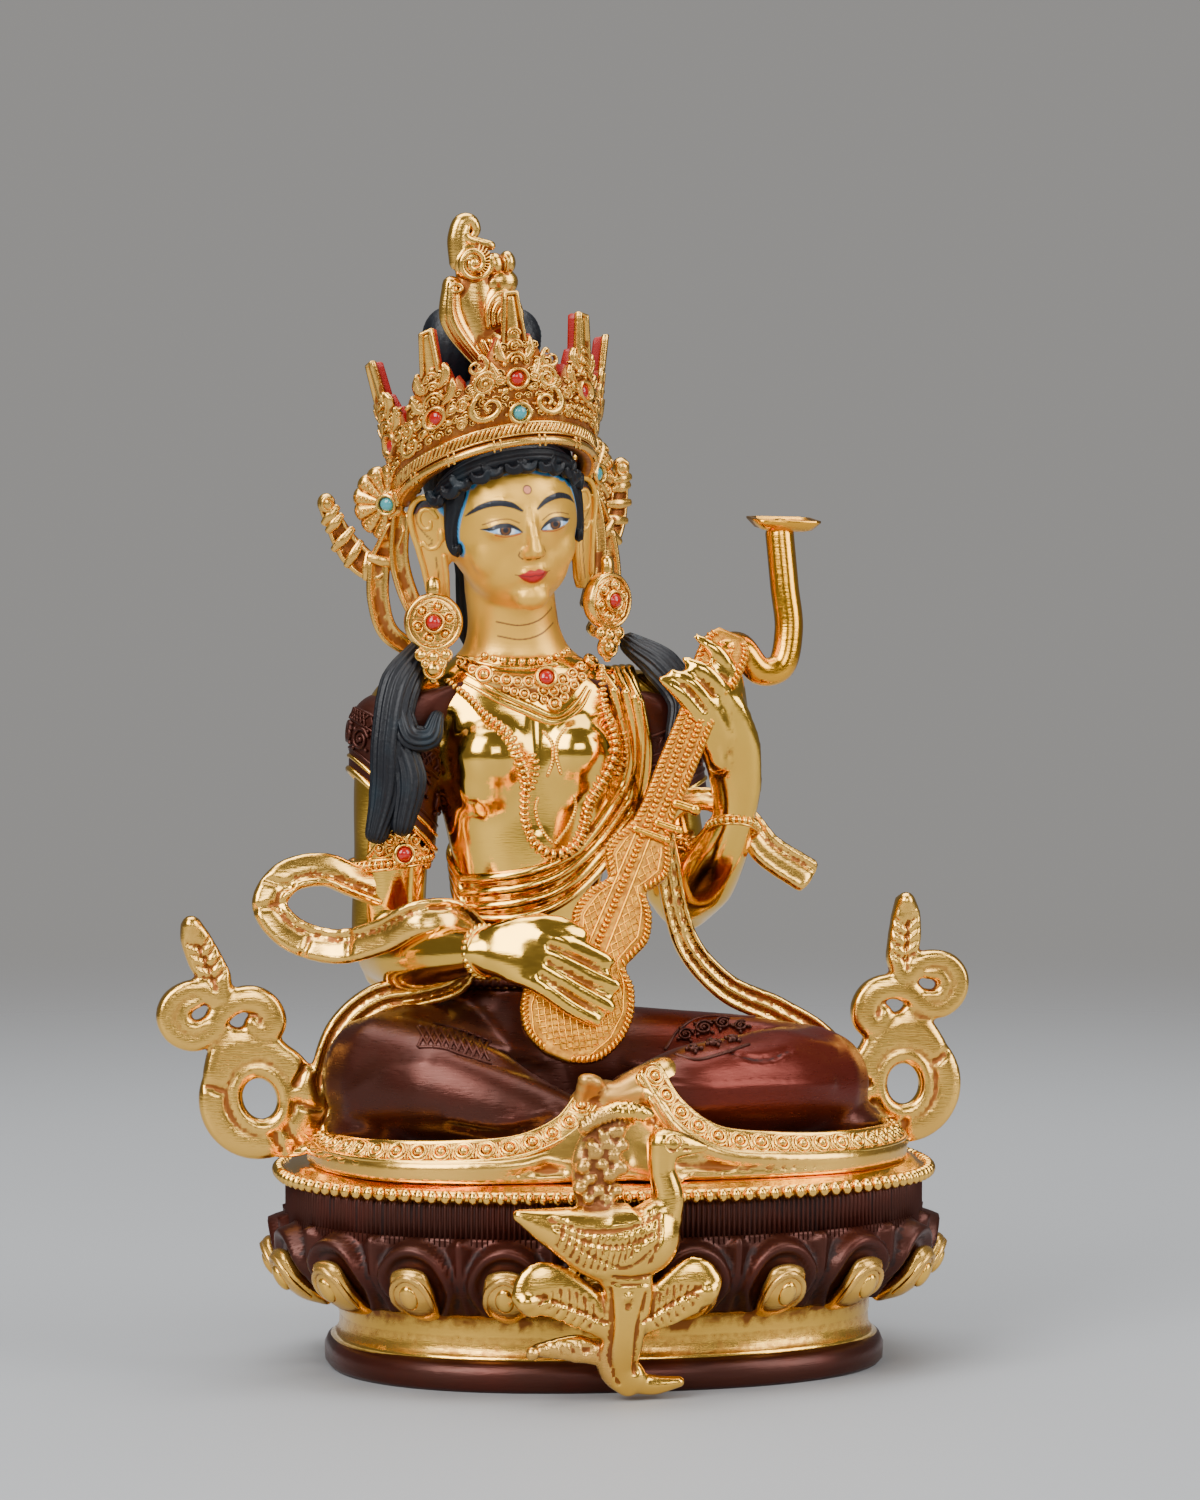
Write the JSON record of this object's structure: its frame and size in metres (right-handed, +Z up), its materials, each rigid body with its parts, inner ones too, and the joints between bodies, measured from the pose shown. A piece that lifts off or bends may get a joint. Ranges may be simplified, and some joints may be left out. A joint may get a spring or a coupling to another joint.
{
  "type": "seated goddess figure",
  "caption": "Small cast and partly gilded copper figure of a seated Saraswati playing a lute on an oval lotus base, with a swan on a lotus stem in front.",
  "frame": {"origin": "centre of the base's underside", "axes": "+Z up, the figure faces -Y, its right side is towards -X"},
  "size_m": [0.1464, 0.1019, 0.2082],
  "materials": {
    "gilded_copper": "fire-gilded copper, polished on the skin and matt in the ornament, with orange-brown recesses",
    "oxidised_copper": "satin dark brown oxidised copper",
    "painted_gold": "matt cold gold paint on the face and neck, with painted eyes and lips",
    "painted_hair": "black mineral paint with bluish highlights",
    "coral": "polished coral red cabochon",
    "turquoise": "polished turquoise cabochon"
  },
  "bodies": {
    "root": {"lotus_base": "oxidised_copper", "swan_and_lotus_stem": "gilded_copper", "goddess_figure": "gilded_copper", "crown": "gilded_copper", "topknot_finial": "gilded_copper", "lute": "gilded_copper", "right_scarf": "gilded_copper", "left_scarf": "gilded_copper", "right_earring": "gilded_copper", "left_earring": "gilded_copper", "coral_crown_right_outer": "coral", "coral_crown_right_inner": "coral", "coral_crown_front": "coral", "coral_crown_left_inner": "coral", "coral_crown_left_outer": "coral", "turquoise_crown_front": "turquoise", "turquoise_crown_right": "turquoise", "turquoise_crown_left": "turquoise", "coral_right_earring": "coral", "coral_left_earring": "coral", "coral_necklace": "coral", "coral_armlet": "coral"}
  },
  "joints": []
}
